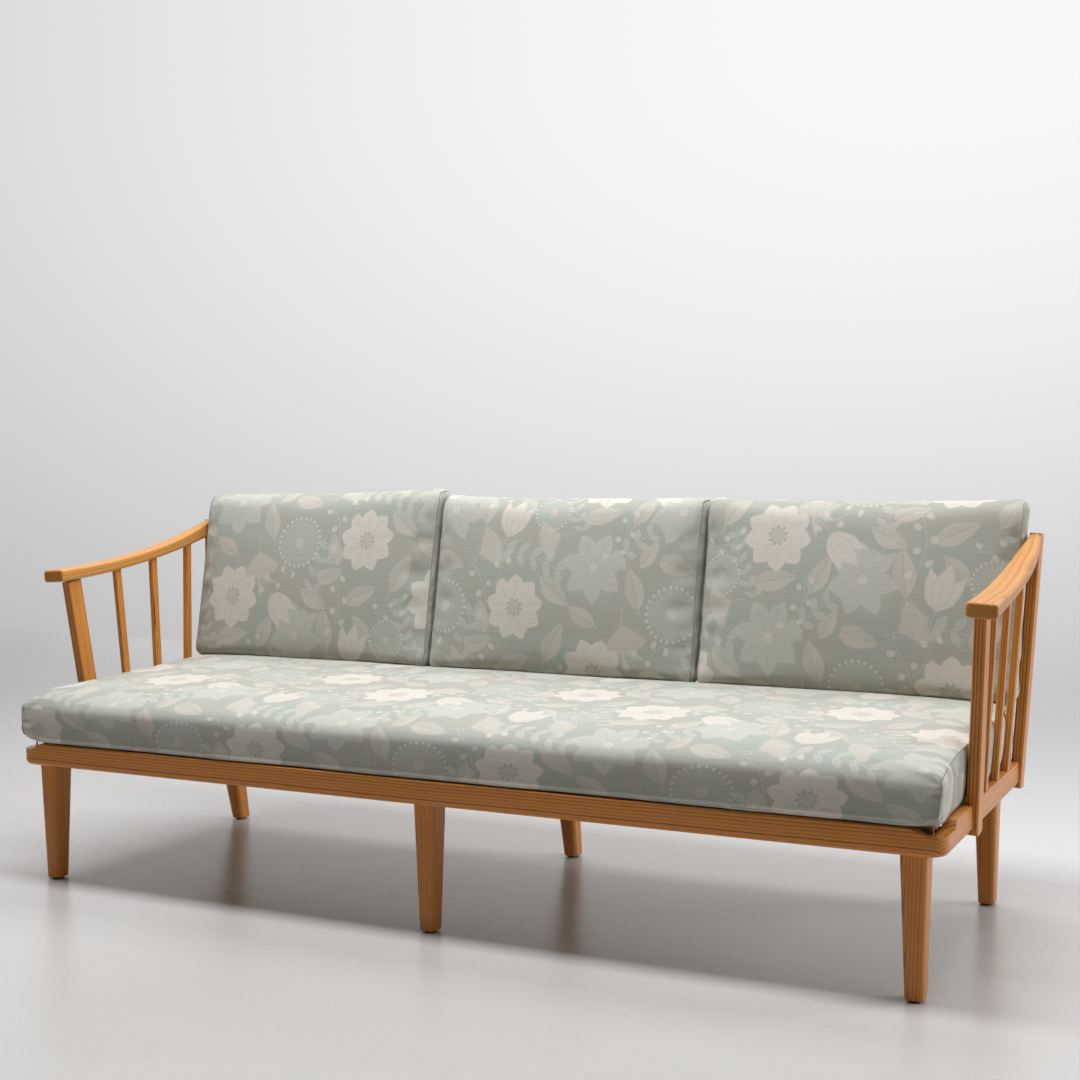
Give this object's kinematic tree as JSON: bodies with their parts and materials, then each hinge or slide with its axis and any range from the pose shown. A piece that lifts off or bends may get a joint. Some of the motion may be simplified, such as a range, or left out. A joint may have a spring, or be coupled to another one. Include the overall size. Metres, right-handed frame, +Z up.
{
  "type": "sofa",
  "caption": "Long sofa: open stained-pine frame with splayed spindle arms and tapered legs, loose seat mattress and back cushions.",
  "frame": {"origin": "on the floor, under the middle of the sofa's whole outline", "axes": "+X along the seat, to the right as seen from the front; -Y towards the front; +Z up"},
  "size_m": [2.0898, 0.7541, 0.8192],
  "materials": {
    "stained_pine": "honey-stained pine under satin lacquer",
    "plain_pine": "planed, unstained pine",
    "cushion_fabric": "woven sage cotton with a cream foliage print",
    "foam": "cut polyether foam",
    "zip_tape": "woven nylon zip",
    "glide_plastic": "moulded",
    "zinc_steel": "zinc plated"
  },
  "bodies": {
    "frame": {"front_rail": "stained_pine", "back_rail": "stained_pine", "left_side_rail": "stained_pine", "right_side_rail": "stained_pine", "centre_rail": "plain_pine", "front_left_block": "plain_pine", "front_right_block": "plain_pine", "rear_left_block": "plain_pine", "rear_right_block": "plain_pine", "front_left_ledge": "plain_pine", "front_right_ledge": "plain_pine", "rear_left_ledge": "plain_pine", "rear_right_ledge": "plain_pine", "left_seat_slats": "plain_pine", "right_seat_slats": "plain_pine", "front_left_leg": "stained_pine", "front_centre_leg": "stained_pine", "front_right_leg": "stained_pine", "rear_left_leg": "stained_pine", "rear_centre_leg": "stained_pine", "rear_right_leg": "stained_pine", "front_left_post": "stained_pine", "front_right_post": "stained_pine", "rear_left_post": "stained_pine", "rear_right_post": "stained_pine", "left_armrest": "stained_pine", "right_armrest": "stained_pine", "left_arm_spindle_1": "stained_pine", "left_arm_spindle_2": "stained_pine", "left_arm_spindle_3": "stained_pine", "right_arm_spindle_1": "stained_pine", "right_arm_spindle_2": "stained_pine", "right_arm_spindle_3": "stained_pine", "top_rail": "stained_pine", "left_back_spindles": "stained_pine", "centre_back_spindles": "stained_pine", "right_back_spindles": "stained_pine", "foot_glides": "glide_plastic", "leg_bolts": "zinc_steel", "rail_dowels": "plain_pine", "arm_dowels": "plain_pine", "post_screws": "zinc_steel", "top_rail_screws": "zinc_steel", "slat_screws": "zinc_steel"},
    "seat_cushion": {"seat_cover": "cushion_fabric", "seat_foam": "foam", "seat_zip": "zip_tape"},
    "left_back_cushion": {"left_back_cover": "cushion_fabric", "left_back_foam": "foam", "left_back_zip": "zip_tape"},
    "centre_back_cushion": {"centre_back_cover": "cushion_fabric", "centre_back_foam": "foam", "centre_back_zip": "zip_tape"},
    "right_back_cushion": {"right_back_cover": "cushion_fabric", "right_back_foam": "foam", "right_back_zip": "zip_tape"}
  },
  "joints": [
    {"name": "seat_lift", "type": "slide", "parent": "frame", "child": "seat_cushion", "axis": [0, 0, 1], "range_m": [0, 0.48]},
    {"name": "left_back_lift", "type": "slide", "parent": "seat_cushion", "child": "left_back_cushion", "axis": [0, 0, 1], "range_m": [0, 0.36]},
    {"name": "centre_back_lift", "type": "slide", "parent": "seat_cushion", "child": "centre_back_cushion", "axis": [0, 0, 1], "range_m": [0, 0.36]},
    {"name": "right_back_lift", "type": "slide", "parent": "seat_cushion", "child": "right_back_cushion", "axis": [0, 0, 1], "range_m": [0, 0.36]}
  ]
}
